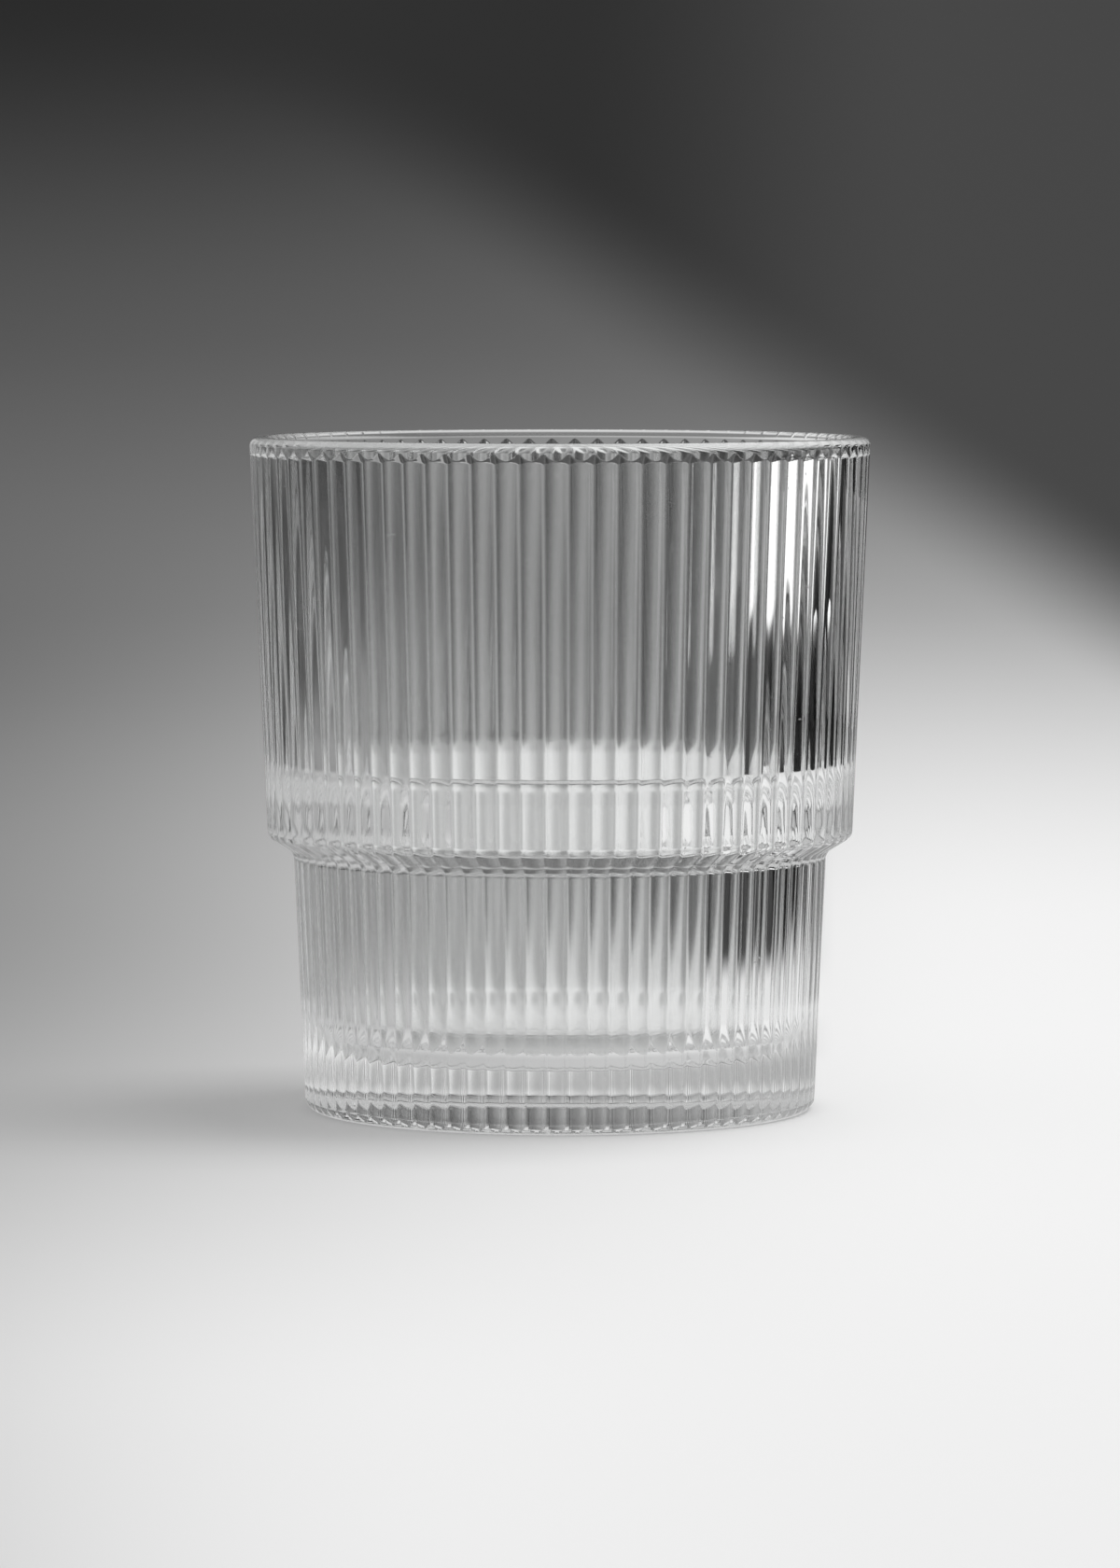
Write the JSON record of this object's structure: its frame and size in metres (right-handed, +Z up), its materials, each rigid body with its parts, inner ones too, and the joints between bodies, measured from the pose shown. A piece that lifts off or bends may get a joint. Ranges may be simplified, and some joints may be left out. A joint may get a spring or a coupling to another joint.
{
  "type": "rocks glass",
  "caption": "Stackable clear pressed-glass rocks glass with a reeded outside, a step low on the wall, a smooth inside that narrows over a sloping ledge, a thick base and a rounded lip; holds a short drink.",
  "frame": {"origin": "centre of the bearing ring, on the table plane", "axes": "+Z up along the glass's axis, through the open mouth; a groove between two reeds lies on -Y"},
  "size_m": [0.082, 0.082, 0.089],
  "materials": {
    "clear_glass": "clear colourless pressed soda-lime glass, fire-polished lip, faint mould waviness"
  },
  "bodies": {
    "root": {"tumbler": "clear_glass"}
  },
  "joints": []
}
